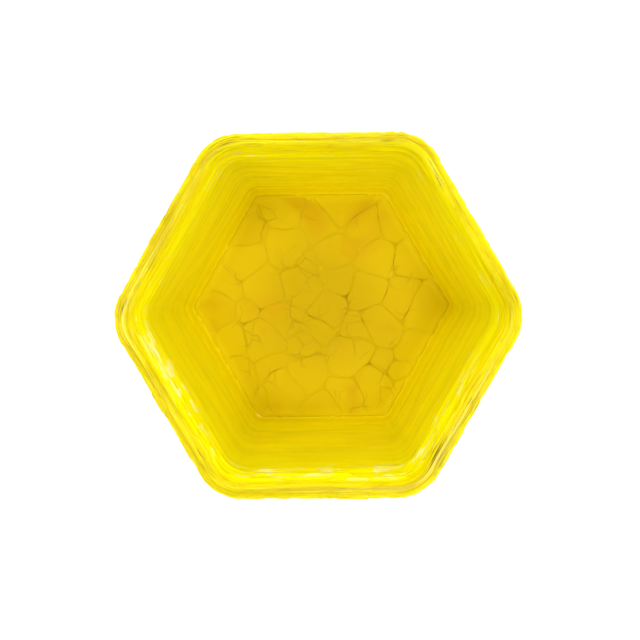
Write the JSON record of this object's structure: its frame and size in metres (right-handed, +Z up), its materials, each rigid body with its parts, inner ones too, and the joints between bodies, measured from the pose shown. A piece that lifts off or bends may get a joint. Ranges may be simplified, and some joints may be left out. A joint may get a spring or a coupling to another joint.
{
  "type": "rock tumbler barrel",
  "caption": "Open hexagonal tumbler barrel with a lift-out liner cup, a floor paved with flat chips, and a round rubber-tyred drive disc clamped under its closed end by a knob.",
  "frame": {"origin": "on the barrel's axis, on the plane of the drive disc's foot ring", "axes": "+Z up the axis and out of the open mouth; two flats of the hexagon face +Y and -Y; two of its corners point along +X and -X"},
  "size_m": [0.152, 0.152, 0.1567],
  "materials": {
    "yellow_casing": "translucent urethane, pebbled and chipped outside",
    "yellow_liner": "glossy translucent urethane with fine streaks along the rim",
    "yellow_chips": "polished yellow chips with thin brown joints",
    "bed_resin": "amber resin",
    "cast_alloy": "turned and lightly brushed",
    "tyre_rubber": "matt, scuffed tread",
    "zinc_steel": "zinc plated",
    "brass": "machined",
    "black_plastic": "moulded, fine texture"
  },
  "bodies": {
    "casing": {"outer_shell": "yellow_casing", "backing_plate": "zinc_steel", "clamp_stud": "zinc_steel", "plate_rivet_1": "zinc_steel", "plate_rivet_2": "zinc_steel", "plate_rivet_3": "zinc_steel", "plate_rivet_4": "zinc_steel", "plate_rivet_5": "zinc_steel", "plate_rivet_6": "zinc_steel", "drive_disc": "cast_alloy", "drive_tyre": "tyre_rubber"},
    "liner": {"liner_cup": "yellow_liner", "floor_bed": "bed_resin", "floor_chip_01": "yellow_chips", "floor_chip_02": "yellow_chips", "floor_chip_03": "yellow_chips", "floor_chip_04": "yellow_chips", "floor_chip_05": "yellow_chips", "floor_chip_06": "yellow_chips", "floor_chip_07": "yellow_chips", "floor_chip_08": "yellow_chips", "floor_chip_09": "yellow_chips", "floor_chip_10": "yellow_chips", "floor_chip_11": "yellow_chips", "floor_chip_12": "yellow_chips", "floor_chip_13": "yellow_chips", "floor_chip_14": "yellow_chips", "floor_chip_15": "yellow_chips", "floor_chip_16": "yellow_chips", "floor_chip_17": "yellow_chips", "floor_chip_18": "yellow_chips", "floor_chip_19": "yellow_chips", "floor_chip_20": "yellow_chips", "floor_chip_21": "yellow_chips", "floor_chip_22": "yellow_chips", "floor_chip_23": "yellow_chips", "floor_chip_24": "yellow_chips", "floor_chip_25": "yellow_chips", "floor_chip_26": "yellow_chips", "floor_chip_27": "yellow_chips", "floor_chip_28": "yellow_chips", "floor_chip_29": "yellow_chips", "floor_chip_30": "yellow_chips", "floor_chip_31": "yellow_chips", "floor_chip_32": "yellow_chips", "floor_chip_33": "yellow_chips", "floor_chip_34": "yellow_chips", "floor_chip_35": "yellow_chips", "floor_chip_36": "yellow_chips", "floor_chip_37": "yellow_chips", "floor_chip_38": "yellow_chips", "floor_chip_39": "yellow_chips", "floor_chip_40": "yellow_chips"},
    "washers": {"thrust_washer": "zinc_steel", "lock_washer": "zinc_steel"},
    "knob": {"knob_insert": "brass", "clamp_knob": "black_plastic"}
  },
  "joints": [
    {"name": "liner_lift", "type": "slide", "parent": "casing", "child": "liner", "axis": [0, 0, 1], "range_m": [0, 0.126]},
    {"name": "knob_travel", "type": "slide", "parent": "casing", "child": "washers", "axis": [0, 0, -1], "range_m": [0, 0.0045]},
    {"name": "knob_turn", "type": "hinge", "parent": "washers", "child": "knob", "pos_m": [0, 0, 0.0155], "axis": [0, 0, -1], "range_deg": [0, 1296]}
  ],
  "couplings": [
    {"joint": "knob_travel", "follows": "knob_turn", "m_per_rad": 0.00019894}
  ]
}
